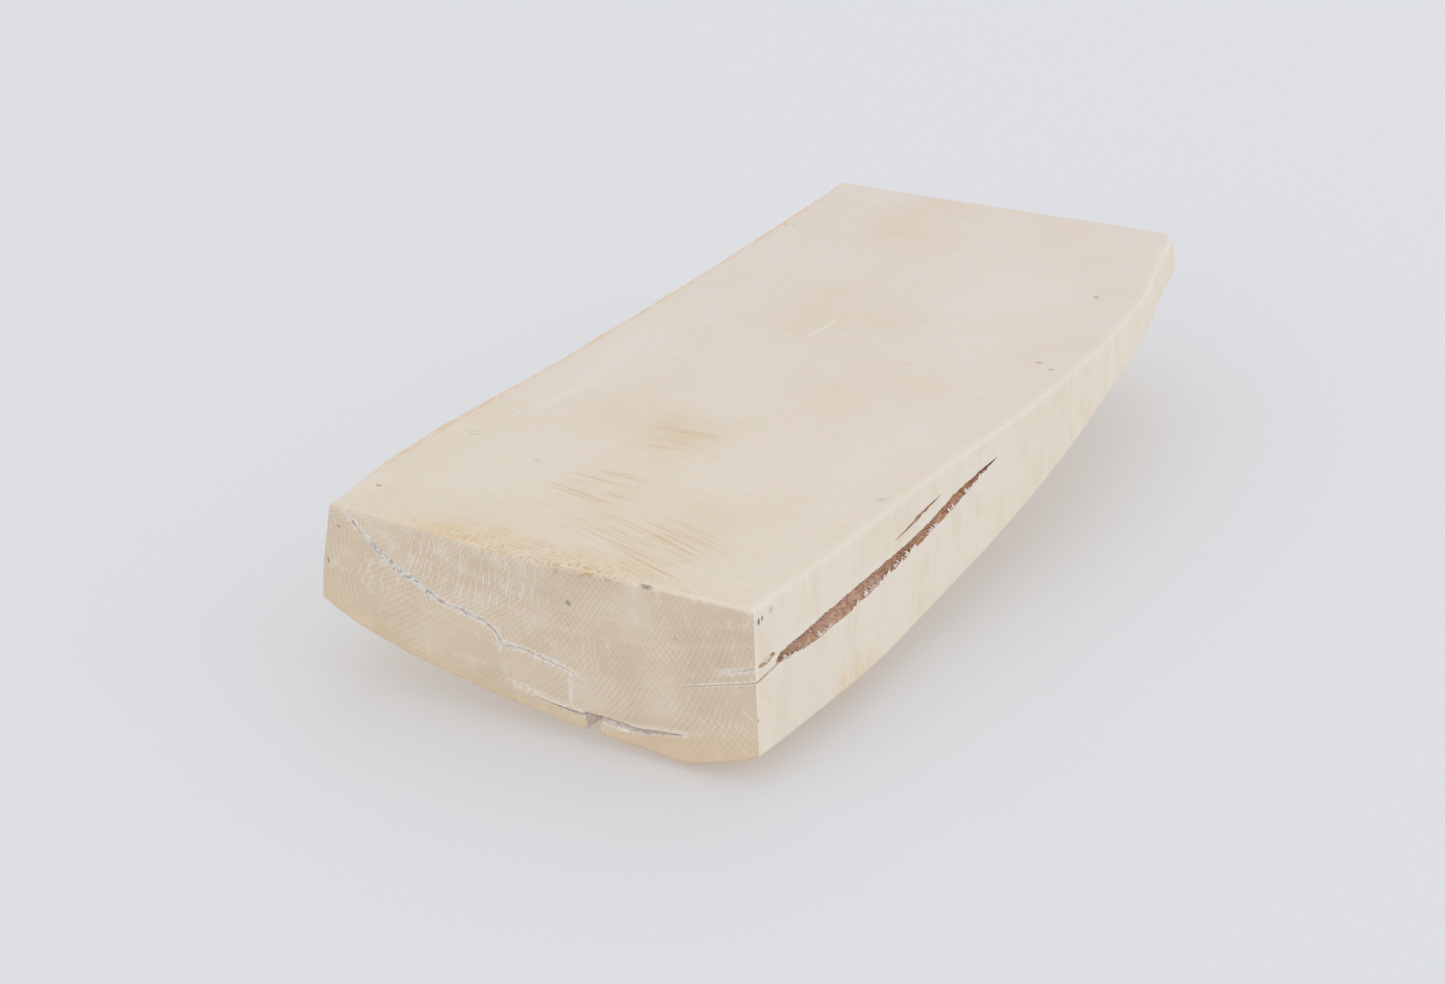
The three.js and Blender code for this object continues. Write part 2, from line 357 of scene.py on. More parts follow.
def side_rift(name, upper, lower, deep, dip, fray, seed):
    """A split in the right side. upper and lower are its lips as (y, z) points. It runs in for `deep` mm.
    Where it is open its lips are ragged, the lower one has teeth of up to `fray` mm, and inside the gap
    closes to a quarter, mostly by the lower wall's rise. Where it is a mere line it dips inwards."""
    start, end = upper[0][0], upper[-1][0]
    y = np.linspace(start, end, int((end - start) / 0.2))[:, None]
    depth = np.concatenate([[-PROUD, -0.5], deep * np.linspace(0, 1, 26) ** 1.5])[None, :]
    top, bottom = smooth_through(y, upper), smooth_through(y, lower)
    gap = top - bottom
    open_share = smoothstep(gap, 0.15, 0.9)
    tooth = np.abs(grain(y / 0.8, y * 0, seed)) ** 1.5 * smoothstep(grain(y / 4, y * 0, seed + 1), -0.2, 0.4)
    tooth = tooth * smoothstep(y - start, 11, 15)
    inwards = np.clip(depth, 0, None)
    lip = np.exp(-inwards / 0.45)
    ragged = 0.16 * rough(y / 2.2, y * 0, seed + 2) + 0.1 * grain(y / 0.5, y * 0, seed + 3)
    top = top + open_share * ragged
    bottom = bottom + open_share * (0.2 * rough(y / 1.8, y * 0, seed + 4) + fray * tooth * lip)
    middle, half = (top + bottom) / 2, (top - bottom) / 2
    inside = inwards / deep
    torn = open_share * smoothstep(inside, 0, 0.06) * 0.3
    rag_top, rag_bottom = (rough(y / 1.1, depth / 0.9, seed + k) for k in (6, 9))
    narrowed = smoothstep(depth, -0.3, 3.2) * open_share
    level = middle - dip * inwards * (1 - open_share) + 0.5 * half * narrowed
    half = half * (1 - 0.75 * narrowed) * (1 - 0.4 * inside)
    x = right_edge(y) + WALL_LEAN * 0.4 - depth
    upper_sheet = level + half + torn * rag_top * np.minimum(half, 1)
    lower_sheet = np.minimum(level - half + torn * rag_bottom, upper_sheet - 0.02)
    return channel(name, TORN, (x, y, upper_sheet), (x, y, lower_sheet))


def end_rift(name, route, widths, deep, sag, seed):
    """A split in the thick end that follows a route of (x, z) points, with its width at each point. It
    closes to a third. The lower lip sags by a share of the width, less so further in."""
    s, x, z, width = walked(route, widths, 0.15)
    depth = np.concatenate([[-PROUD, -0.4], deep * np.linspace(0, 1, 16) ** 1.4])[None, :]
    inwards = np.clip(depth, 0, None)
    half = width / 2 * (1 + 0.35 * rough(s / 0.6, depth / 0.7, seed + 3))
    half = half * (1 - 0.7 * (inwards / deep) ** 1.5)
    level = z + 0.12 * rough(s / 1.6, s * 0, seed) * smoothstep(width, 0.05, 0.3)
    sagged = sag * width * np.exp(-inwards / 1.3) * (1 + 0.4 * rough(s / 0.9, depth, seed + 6))
    return channel(name, INNER, (x, depth, level + half), (x, depth, level - half - sagged))


def crumbled(name, route, widths, deep, pits, seed):
    """A crack packed with dust: a shallow ragged channel in the thick end along a route of (x, z) points,
    deep at its middle line, with pits where the dust has dropped out."""
    s, x, z, width = walked(route, widths, 0.13)
    run = np.stack([np.gradient(x[:, 0]), np.gradient(z[:, 0])])
    run /= np.linalg.norm(run, axis=0)
    v = np.linspace(-1, 1, 11)[None, :]
    off = 0.22 * rough(s / 1.1, s * 0, seed) * smoothstep(width, 0.1, 0.5)
    off = off + v * width / 2 * (1 + 0.6 * rough(s / 0.5, np.sign(v) * 3.3 + 7, seed + 3))
    x, z = x - run[1][:, None] * off, z + run[0][:, None] * off
    pitted = smoothstep(rough(s / 0.6, v * 0.8, seed + 9), 0.15, 0.5) * smoothstep(width, 0.2, 0.6)
    floor = deep * (0.75 + 0.5 * rough(s / 0.35, v * 1.3, seed + 6)) + pits * pitted
    floor = 0.02 + floor * np.sqrt(np.clip(1 - v**2, 0, 1)) * smoothstep(width, 0.0, 0.4)
    return channel(name, CHALK, (x, floor * 0 - PROUD, z), (x, floor + end_face(x, z), z))


def notch(name, left, right, roof, seed):
    """The gap between the flaps: two rough walls that run down through the belly from a roof."""
    z, y = np.linspace(roof, -33, 30)[:, None], np.linspace(-PROUD, 6.5, 26)[None, :]
    sheets = []
    for x, widening, k in ((left, -0.04, 0), (right, 0.08, 3)):
        wall = x + 0.5 * rough(z / 1.3, y / 1.6, seed + k) + widening * (z - roof)
        sheets.append((wall, y, z + 0.25 * rough(wall, y / 1.2, seed + 6)))
    return channel(name, INNER, *sheets)


def corner_chip(name, middle, length, height, seed):
    """A shallow oval flake lost from the right side, close to the thick end."""
    u, v = np.linspace(0, 1, 30)[:, None], np.linspace(-1, 1, 15)[None, :]
    half = height / 2 * np.sqrt(np.clip(1 - (2 * u - 1) ** 2, 0.004, 1))
    half = half * (1 + 0.3 * grain(u * 9, np.sign(v) + 3, seed))
    y = middle[0] + (u - 0.5) * length
    z = middle[1] + 0.08 * (y - middle[0]) + v * half
    floor = 0.12 + 0.4 * (1 - v**2) * np.sin(pi * u) ** 0.5 * (1 + 0.4 * rough(u * 7, v * 3, seed + 1))
    face = right_edge(y) + 0.4 + v * 0
    return channel(name, AMBER, (face + PROUD, y, z), (face - floor, y, z))


# the long split's two lips, as (y, z)
SIDE_UPPER = (
    (-2, -12.95), (0, -12.4), (2.5, -12.05), (4.7, -11.85), (5.9, -11.1), (6.8, -10.4), (9, -10),
    (13.7, -9.75), (18.2, -9.4), (27, -8.9), (36.7, -8.6), (47.8, -8.4), (54.8, -8.05), (61.6, -7.2),
    (67.6, -6.1), (74.4, -5.35), (78.5, -5), (81, -4.85), (83.5, -4.7),
)
SIDE_LOWER = (
    (-2, -13.05), (0, -12.5), (2.5, -12.15), (4.7, -12), (6.8, -11.75), (10, -12.2), (17, -12.6),
    (27, -12.3), (34, -11.95), (41, -11.55), (47.8, -11), (54.8, -10.2), (61.6, -9.4), (68.3, -8.25),
    (75, -6.75), (78.5, -5.95), (81, -5.3), (83.5, -4.75),
)
UPPER_SPLIT = (
    ((45.5, -6.1), (50, -5.65), (54.5, -4.95), (58, -4.65), (63, -4.3)),
    ((45.5, -6.16), (50, -6), (54.5, -5.7), (58, -5.2), (63, -4.36)),
)
# the crack across the thick end, as (x, z), and how wide it is at each point
CRACK = (
    (-76.2, -1.1), (-72.9, -3.4), (-69.5, -5.7), (-66, -7.8), (-61.4, -10.1), (-58.3, -11.5),
    (-52.9, -12.7), (-47.5, -14.4), (-46.7, -15.5), (-46.1, -16.4), (-41.8, -16.8), (-36.2, -17.8),
    (-32.9, -18.6), (-30.8, -19.2),
)
CRACK_WIDTHS = (0.15, 0.7, 1.0, 1.1, 1.0, 0.7, 0.6, 0.45, 0.4, 0.6, 0.4, 0.3, 0.2, 0.08)
CRACK_START = ((-80.4, -0.9), (-79.6, -1.8), (-77.9, -3.3), (-76.4, -3.5))
CORNER_SMEAR = ((-5.5, -12.1), (-3, -11.2), (-1, -10.5), (1.4, -9.8))
LEFT_FLAP = ((-40, -24.7), (-37, -25.15), (-33.5, -25.5), (-28.5, -25.8))
RIGHT_FLAP = ((-29, -25.5), (-26, -25.6), (-21, -25.85), (-17, -25.5), (-12.5, -24.8))
CHIP = (3.2, -9.8)  # the middle of the flake lost near the front corner, as (y, z)

cutters = [
    notch("flap_notch", -30.4, -27.2, -25.2, 141),
    side_rift("side_split", SIDE_UPPER, SIDE_LOWER, 13, 0.3, 1.2, 21),
    side_rift("upper_split", *UPPER_SPLIT, 1.6, 0.3, 0.5, 41),
    end_rift("left_flap_gap", LEFT_FLAP, (0.04, 0.12, 0.25, 0.45), 9, 0.5, 61),
    end_rift("right_flap_gap", RIGHT_FLAP, (0.7, 0.65, 0.6, 0.4, 0.05), 9, 1.1, 71),
    crumbled("end_crack", CRACK, CRACK_WIDTHS, 0.28, 0.5, 81),
    crumbled("end_crack_start", CRACK_START, (0.25, 0.3, 0.25, 0.1), 0.1, 0.0, 101),
    crumbled("corner_smear", CORNER_SMEAR, (0.05, 0.25, 0.45, 0.5), 0.15, 0.3, 121),
    corner_chip("corner_chip", CHIP, 5.0, 1.1, 161),
]

for cutter in cutters:
    cut = slab.modifiers.new(cutter.name, "BOOLEAN")
    cut.operation = "DIFFERENCE"
    cut.solver = "EXACT"
    cut.object = cutter
cut_mesh = bpy.data.meshes.new_from_object(slab.evaluated_get(bpy.context.evaluated_depsgraph_get()))
slab.modifiers.clear()
slab.data = cut_mesh
for cutter in cutters:
    bpy.data.objects.remove(cutter)
slab.data.set_sharp_from_angle(angle=radians(50))

# ---------------------------------------------------------------------------------------------------
# Splinters
# Fine slivers of ivory that still hang on along the lower lip of the long split, in tufts where the
# layers tore instead of parting. They are part of the slab and white where they have dried.

RINGS, SIDES = 7, 6  # each sliver tapers through rings of points
TUFTS = (6, 9.5, 21, 23, 36, 38.5, 40.5, 47, 50, 59, 61, 67, 73)  # mm from the thick end
IN_A_TUFT = 7
dice = np.random.default_rng(5)
stand = (np.repeat(TUFTS, IN_A_TUFT) + dice.normal(0, 0.7, len(TUFTS) * IN_A_TUFT))[:, None, None]
count = len(stand)
spans = ((0.6, 1.9), (-1.7, -0.4), (-0.3, 0.25), (0.08, 0.22))
reach, lean, swing, thick = (dice.uniform(*span, (count, 1, 1)) for span in spans)
t = np.linspace(0, 1, RINGS)[None, :, None]
turn = np.linspace(0, 2 * pi, SIDES, endpoint=False)[None, None, :]
girth = thick * np.sqrt(np.clip(1 - t, 0, 1)) + 0.004
sliver_x = right_edge(stand) + 0.42 + swing * t**2 + girth * np.cos(turn) * 0.6
sliver_y = stand + lean * t + girth * np.sin(turn)
sliver_z = smooth_through(stand, SIDE_LOWER) - 0.1 + reach * (t - 0.3 * t**2) + girth * 0.4 * np.sin(turn)
sliver_points = np.stack(np.broadcast_arrays(sliver_x, sliver_y, sliver_z), -1).reshape(-1, 3)
ring = np.arange(count * RINGS * SIDES).reshape(count, RINGS, SIDES)
step = np.roll(ring, -1, axis=2)
sliver_faces = np.stack([ring[:, :-1], step[:, :-1], step[:, 1:], ring[:, 1:]], -1).reshape(-1, 4)
# two four-sided faces close each end
orders = ((0, (0, 5, 4, 3)), (0, (0, 3, 2, 1)), (-1, (0, 1, 2, 3)), (-1, (0, 3, 4, 5)))
caps = [ring[:, end][:, order] for end, order in orders]
splinters = solid("split_splinters", sliver_points, np.concatenate([sliver_faces, *caps]))

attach(splinters, "root")

# ---------------------------------------------------------------------------------------------------
# Ivory
# The sawn faces show the tusk's growth: fine lines that cross on the ends, soft upright bands on the
# sides, and faint saw marks across the broad face. The splits are lined with torn brown fibre and chalk.


def shade(red, green, blue):
    """A colour given as it looks on a screen, 0 to 255, turned into the light that it sends back."""
    part = [v / 255 for v in (red, green, blue)]
    return (*(v / 12.92 if v <= 0.04045 else ((v + 0.055) / 1.055) ** 2.4 for v in part), 1)


class Wire:
    """A shader socket in a Python expression: each operator adds the Math node that works it out."""

    def __init__(self, socket):
        self.socket = socket

    def add(self, kind, settings, inputs, output=0):
        """A new node: its settings first, a curve's points among them, then its sockets."""
        tree = self.socket.id_data
        node = tree.nodes.new("ShaderNode" + kind)
        for name, value in settings.items():
            if name == "points":
                curve = node.mapping.curves[0].points
                while len(curve) < len(value):
                    curve.new(0.5, 0.5)
                for point, location in zip(curve, value):
                    point.location = location
                node.mapping.update()
            else:
                setattr(node, name, value)
        for name, value in inputs.items():
            if isinstance(value, Wire):
                tree.links.new(value.socket, node.inputs[name])
            else:
                node.inputs[name].default_value = value
        return Wire(node.outputs[output])

    def math(self, operation, *others):
        return self.add("Math", {"operation": operation}, dict(enumerate((self, *others))))

    def __add__(self, other):
        return self.math("ADD", other)

    def __sub__(self, other):
        return self.math("SUBTRACT", other)

    def __mul__(self, other):
        return self.math("MULTIPLY", other)

    def __neg__(self):
        return self * -1

    def __abs__(self):
        return self.math("ABSOLUTE")

    def __radd__(self, other):
        return self + other

    def __rmul__(self, other):
        return self * other

    def __rsub__(self, other):
        return -self + other

    def ramp(self, low, high):
        """0 below low, 1 above high and a smooth S between; low may be the greater."""
        if low > high:
            return 1 - self.ramp(high, low)
        sockets = {"Value": self, "From Min": low, "From Max": high}
        return self.add("MapRange", {"interpolation_type": "SMOOTHSTEP"}, sockets)

    def part(self, axis):
        return self.add("SeparateXYZ", {}, {"Vector": self}, "XYZ".index(axis))

    def noise(self, size, detail, distortion=0.0):
        """Noise around 0.5 on a place, with a size in millimetres along each axis."""
        place = self.add("VectorMath", {"operation": "DIVIDE"}, {0: self, 1: size})
        sockets = {"Vector": place, "Scale": 1.0, "Detail": detail, "Distortion": distortion}
        return self.add("TexNoise", {}, sockets)

    def line_noise(self, detail):
        """Noise around 0.5 that changes along this number, once in every unit."""
        sockets = {"W": self, "Scale": 1.0, "Detail": detail}
        return self.add("TexNoise", {"noise_dimensions": "1D"}, sockets)

    def shift(self, x, y, z):
        """A place moved by an amount along each axis, numbers or wires."""
        by = self.add("CombineXYZ", {}, {"X": x, "Y": y, "Z": z})
        return self.add("VectorMath", {"operation": "ADD"}, {0: self, 1: by})

    def spot(self, centre, radii):
        """1 at a centre, falling to 0 at a radius along each axis."""
        away = self.add("VectorMath", {"operation": "SUBTRACT"}, {0: self, 1: centre})
        away = away.add("VectorMath", {"operation": "DIVIDE"}, {0: away, 1: radii})
        return away.add("VectorMath", {"operation": "LENGTH"}, {0: away}, 1).ramp(1, 0)

    def spots(self, *each):
        """The sum of several spots, each given as its centre, its radii and its strength."""
        return sum(self.spot(centre, radii) * strength for centre, radii, strength in each)

    def capped(self):
        """This number, or 1 where it is more."""
        return self.math("MINIMUM", 1.0)

    def stroke(self, start, end, width):
        """1 on the line between two places, falling to 0 at a width, and fading out at both ends."""
        start, end = np.array(start, float), np.array(end, float)
        run = end - start
        from_start = self.add("VectorMath", {"operation": "SUBTRACT"}, {0: self, 1: tuple(start)})
        on, unit = tuple(run / (run @ run)), tuple(run / np.sqrt(run @ run))
        share = from_start.add("VectorMath", {"operation": "DOT_PRODUCT"}, {0: from_start, 1: on}, 1)
        beside = from_start.add("VectorMath", {"operation": "CROSS_PRODUCT"}, {0: from_start, 1: unit})
        off = beside.add("VectorMath", {"operation": "LENGTH"}, {0: beside}, 1)
        return off.ramp(width, width * 0.2) * share.ramp(0, 0.25) * share.ramp(1, 0.75)

    def curve(self, points, low, high):
        """Looks this number up on the smooth curve through (place, value) points, within low to high."""
        first, last = points[0][0], points[-1][0]
        scaled = [((x - first) / (last - first), (v - low) / (high - low)) for x, v in points]
        share = (self - first) * (1 / (last - first))
        looked = self.add("FloatCurve", {"points": scaled}, {"Factor": 1.0, "Value": share})
        return looked * (high - low) + low


def tint(under, over, amount):
    """One colour laid over another by an amount from 0 to 1."""
    wire = next(v for v in (amount, under, over) if isinstance(v, Wire))
    settings = {"data_type": "RGBA"}
    return wire.add("Mix", settings, {0: amount, 6: under, 7: over}, 2)


def finish(name, paint):
    """A material. paint takes the place on the slab in millimetres and gives back the colour, the
    roughness and the height of the surface in millimetres."""
    made = bpy.data.materials.new(name)
    made.use_nodes = True
    shader = made.node_tree.nodes["Principled BSDF"]
    seen = made.node_tree.nodes.new("ShaderNodeTexCoord").outputs["Object"]
    settings = {"vector_type": "POINT"}
    sockets = {"Vector": Wire(seen), "Location": tuple(CORNER * -1000), "Scale": (1000, 1000, 1000)}
    colour, gloss, height = paint(Wire(seen).add("Mapping", settings, sockets))
    bump = height.add("Bump", {}, {"Strength": 1.0, "Distance": 0.001, "Height": height})
    for socket, value in (("Base Color", colour), ("Roughness", gloss), ("Normal", bump)):
        if isinstance(value, Wire):
            made.node_tree.links.new(value.socket, shader.inputs[socket])
        else:
            shader.inputs[socket].default_value = value
    shader.inputs["IOR"].default_value = 1.5
    return made


CREAM, TAN, PINK = shade(228, 216, 198), shade(222, 200, 166), shade(226, 214, 204)
WHITE, AMBER_BROWN, GREY = shade(236, 232, 228), shade(196, 150, 92), shade(96, 90, 84)
CHIP_BROWN = shade(192, 154, 104)


def sawn_top(place):
    """Warm and pale patches, fine saw lines that show brown in places, and a few light scratches."""
    x, y = place.part("X"), place.part("Y")
    soft = place.noise((24, 34, 30), 4)
    colour = tint(CREAM, PINK, y.ramp(0, 150) * 0.8)
    pale = place.spots(
        ((-72, 78, 0), (13, 60, 9), 1),
        ((-22, 140, 0), (24, 50, 9), 1),
        ((-8, 60, 0), (14, 40, 9), 0.7),
    )
    colour = tint(colour, shade(231, 221, 213), (pale * 0.7 - soft * 2.0).ramp(-1.2, 0.0) * 0.7)
    warm = place.spots(
        ((-56, 178, 0), (22, 34, 9), 1),
        ((-54, 122, 0), (15, 32, 9), 0.9),
        ((-72, 16, 0), (17, 24, 9), 0.6),
        ((-41, 55, 0), (16, 40, 9), 0.7),
        ((-20, 30, 0), (22, 18, 9), 0.5),
        ((-18, 102, 0), (18, 18, 9), 0.6),
    )
    colour = tint(colour, shade(223, 205, 176), (warm * 0.6 + soft * 2.4).ramp(1.15, 2.2) * 0.8)

    # the saw ran askew near the thick end, so its lines fan out there
    ran = place.shift(0, (x + 48) * (y.ramp(52, 4) * 0.42 - 0.06), 0)
    fine = ran.noise((9, 0.5, 20), 3)
    lines = ran.noise((18, 0.27, 20), 0).ramp(0.6, 0.69)
    lines = lines + ran.shift(7, 3, 0).noise((26, 0.34, 20), 0).ramp(0.61, 0.7)
    patches = place.spots(
        ((-44, 54, 0), (13, 14, 9), 1),
        ((-44, 29, 0), (13, 13, 9), 1),
        ((-29, 16, 0), (22, 12, 9), 1),
        ((-24, 6, 0), (16, 9, 9), 0.8),
    )
    patches = patches + place.noise((22, 16, 20), 2).ramp(0.6, 0.8) * 0.25
    mottle = place.noise((1.6, 2.8, 3), 3)
    colour = tint(colour, TAN, fine.ramp(0.45, 0.7) * 0.2 + mottle.ramp(0.5, 0.7) * 0.2)
    # painted highlight: pale lines along the saw's run, where its ridges catch the light
    saw_ridge_highlights = ran.shift(40, 9, 0).noise((7, 0.8, 20), 3)
    colour = tint(colour, shade(236, 228, 218), saw_ridge_highlights.ramp(0.5, 0.72) * 0.2)
    colour = tint(colour, shade(224, 202, 166), patches.ramp(0.1, 1.2) * 0.24)
    broken = place.noise((12, 5, 9), 2).ramp(0.33, 0.55)
    stained = lines.capped() * patches.ramp(0.02, 0.7) * broken
    colour = tint(colour, shade(206, 170, 112), stained * 0.55)

    # growth layers crop out as scalloped lines and short hairs where the saw wandered at the thick end
    sway = place.noise((3.2, 60, 20), 1) * 3.0 + place.noise((1.1, 60, 20), 1) * 0.9
    waves = (place.shift(0, sway, 0).part("Y") * 6.5).math("SINE").ramp(-0.2, 0.9)
    scallops = waves * place.spot((-46, 3, 0), (22, 10, 9)).ramp(0, 0.7)
    hairs = place.noise((0.35, 2.2, 5), 2)
    end_strip = y.ramp(9, 0) * x.ramp(4, -14)
    yellow = place.spot((-42, 1, 0), (30, 12, 9))
    yellowed = (yellow * 0.9 + end_strip * 0.5).ramp(0.1, 1.0) * soft.ramp(0.25, 0.6)
    colour = tint(colour, shade(229, 202, 156), yellowed * 0.45)
    colour = tint(colour, shade(200, 160, 100), scallops * place.noise((4, 3, 5), 3).ramp(0.42, 0.58) * 0.42)
    colour = tint(colour, shade(206, 168, 116), hairs.ramp(0.5, 0.66) * end_strip * (0.25 + yellow * 0.5))
    chips = place.noise((0.9, 1.6, 2), 2).ramp(0.55, 0.63)
    chips = chips * place.spot((-29, -0.6, 0), (14, 2.2, 9)).ramp(0, 0.6)
    colour = tint(colour, CHIP_BROWN, chips * 0.7)

    # the right arris carries a painted highlight, a pale band along it, and the left and far ones carry a
    # thin orange-tan rim
    right = x - y.curve(RIGHT_SIDE, -10, 5)
    left = y.curve(LEFT_SIDE, -86, -79) - x
    speckle = place.noise((1.6, 3.5, 3), 3)
    colour = tint(colour, shade(238, 229, 213), (right + speckle * 2.0).ramp(-0.9, 1.1) * 0.5)
    rim = (left + speckle * 1.6).ramp(-0.9, 0.5) + (y + speckle).ramp(198.6, 200.2) * 0.6
    colour = tint(colour, shade(226, 192, 148), rim.capped() * speckle.ramp(0.35, 0.55) * 0.6)

    scratches = (
        place.stroke((-73, 48, 0), (-70.8, 70, 0), 0.5)
        + place.stroke((-47.4, 106, 0), (-46.4, 122, 0), 0.7)
        + place.stroke((-74, 174, 0), (-71.5, 194, 0), 0.5)
        + place.stroke((-74.6, 46, 0), (-73.4, 58, 0), 0.4)
    )
    colour = tint(colour, WHITE, scratches * 0.45)
    specks = place.spots(
        ((-77.3, 11.8, 0), (0.8, 0.6, 2), 1),
        ((-3.6, 117.5, 0), (0.9, 0.7, 2), 1),
        ((-0.3, 115.3, 0), (0.7, 0.6, 2), 1),
        ((-8, 155.6, 0), (0.9, 0.7, 2), 1),
        ((-60, 33.5, 0), (0.6, 0.4, 2), 0.6),
    )
    colour = tint(colour, AMBER_BROWN, specks.ramp(0, 0.6) * 0.8)
    dirt = place.spots(
        ((-76, 39, 0), (2.4, 1.8, 2), 1),
        ((-1.2, 47, 0), (1.6, 2.2, 2), 1),
        ((-81, 166, 0), (2.4, 1.6, 2), 1),
    )
    crumbs = place.noise((0.9, 0.9, 0.9), 3).ramp(0.42, 0.58)
    colour = tint(colour, shade(190, 174, 150), dirt.ramp(0, 0.8) * crumbs * 0.5)
    height = fine * 0.018 + hairs * end_strip * 0.05
    height = height - lines * patches * 0.012 - scratches * 0.03 - specks * 0.1
    return colour, 0.5 + soft * 0.12 - fine * 0.06, height


AXIS_X, AXIS_Z = -30, 85  # where the tusk's axis ran
CROSS_COSINE, CROSS_SINE = 0.79, 0.62  # of the angle at which the fine lines cross a way to the axis
WAVES = 7.0  # radians in a millimetre, which sets the fine lines 0.9 mm apart
OUTER_LAYER = (109.5, 113.5)  # how far from the axis the outermost layer starts


def end_grain(place):
    """Two sets of fine lines that cross, as on every cut across a tusk: each line stands 38 degrees off
    the way to the tusk's axis, which lies above the slab. Growth layers are arcs round the same axis."""
    x, height = place.part("X"), place.part("Z")
    beside, below = x - AXIS_X, AXIS_Z - height
    out = (beside * beside + below * below).math("SQRT")
    around = beside.math("ARCTAN2", below) * 100
    wander = place.noise((26, 26, 9), 2) * 2.5
    soft = place.noise((13, 13, 9), 3)
    fine = place.noise((2.2, 2.2, 2.2), 3)
    colour = tint(shade(213, 198, 178), shade(204, 187, 164), soft.ramp(0.35, 0.65))
    colour = tint(colour, shade(224, 211, 195), fine.ramp(0.5, 0.72) * 0.45)
    for way, start in ((1, 3.0), (-1, 40.0)):
        across = around * CROSS_COSINE + out * (CROSS_SINE * way) + wander + fine * 0.3
        lines = (across * WAVES).math("SINE").ramp(-0.6, 0.9)
        where = place.shift(start, 0, start).noise((11, 11, 11), 2).ramp(0.4, 0.6)
        colour = tint(colour, shade(188, 166, 134), lines * (where * 0.22 + 0.05))
    layers = (out * 0.55 + wander * 0.4).line_noise(3)
    colour = tint(colour, shade(222, 206, 184), layers.ramp(0.52, 0.75) * 0.22)

    # short fine rays between the crack and the sawn face, and a few under it
    fanned = around.add("CombineXYZ", {}, {"X": around, "Y": 0.0, "Z": out})
    rays = fanned.shift(fine * 0.5, 0, 0).noise((0.34, 1, 4.5), 2)
    fan = place.spots(
        ((-52, 0, -5), (26, 9, 10), 1),
        ((-30, 0, -14), (13, 9, 8), 0.4),
        ((-71, 0, -10), (8, 9, 6), 0.6),
    )
    colour = tint(colour, shade(232, 222, 214), rays.ramp(0.5, 0.64) * fan.ramp(0, 0.7) * 0.5)
    comb = fanned.noise((0.45, 1, 2.5), 2).ramp(0.52, 0.7)
    colour = tint(colour, WHITE, comb * place.spot((-4, 0, -23), (10, 9, 4.5)).ramp(0, 0.6) * 0.3)

    # the outermost layer is warmer; the arris under the sawn face carries a painted highlight, a pale band
    # strongest towards the right, and brown chips
    colour = tint(colour, shade(210, 184, 146), (out + fine * 1.5).ramp(*OUTER_LAYER) * 0.4)
    lip = (height + fine * 0.6).ramp(-0.9, -0.1)
    colour = tint(colour, shade(236, 226, 208), lip * (x.ramp(-34, -8) * 0.5 + 0.1))
    torn_out = place.spots(((-29, 0, -0.6), (10, 9, 1.4), 1), ((-79, 0, 0), (1.0, 3, 1.2), 1))
    chips = place.noise((1.4, 2, 1.0), 2).ramp(0.5, 0.6)
    colour = tint(colour, CHIP_BROWN, torn_out.ramp(0.1, 0.6) * chips * 0.7)

    # chalk dust in and beside the cracks
    off = abs(height - x.curve(CRACK, -21, 0))
    ragged = place.noise((0.8, 0.8, 0.8), 3)
    near_crack = x.ramp(-78, -75) * x.ramp(-29, -33) * place.part("Y").ramp(8, 5)
    dust = (off + ragged * 2.4).ramp(2.2, 1.2) * near_crack
    for start, end, width in (
        ((-13.6, 0, -16.6), (2.5, 0, -11.8), 0.65),
        ((-8, 0, -13), (3, 0, -9.3), 1.0),
        ((-33, 0, -18), (-33, 0, -25.5), 0.75),
        ((-81, 0, -0.3), (-76, 0, -4), 0.9),
        ((-48, 0, -22.7), (-27, 0, -26.2), 1.1),
        ((-28, 0, -26.8), (-8, 0, -24), 1.1),
        ((-46.6, 0, -13), (-46.4, 0, -19), 0.9),
    ):
        dust = dust + place.stroke(start, end, width) * ragged.ramp(0.3, 0.6) * 0.8
    colour = tint(colour, shade(226, 221, 213), dust.capped() * 0.75)

    flecks = place.spots(
        ((-33.1, 0, -6.5), (0.9, 3, 0.8), 1),
        ((-79.7, 0, -9.5), (0.35, 3, 0.8), 1),
        ((-18.8, 0, -0.5), (1.8, 3, 0.7), 1),
        ((-34.9, 0, -1.2), (0.6, 3, 0.5), 0.6),
        ((-13.8, 0, -8.2), (0.7, 3, 0.6), 0.5),
    )
    crumbs = place.noise((0.4, 0.4, 0.4), 1).ramp(0.3, 0.55)
    colour = tint(colour, GREY, flecks.ramp(0, 0.8) * crumbs * 0.75)
    return colour, 0.58 + soft * 0.1, layers * 0.03 + rays * fan * 0.03 + dust * 0.02


# the middle of the long split, as (y, z)
SPLIT_LINE = ((-4, -13), (3, -12), (14, -11), (36, -10.3), (50, -9.6), (70, -7), (92, -4))


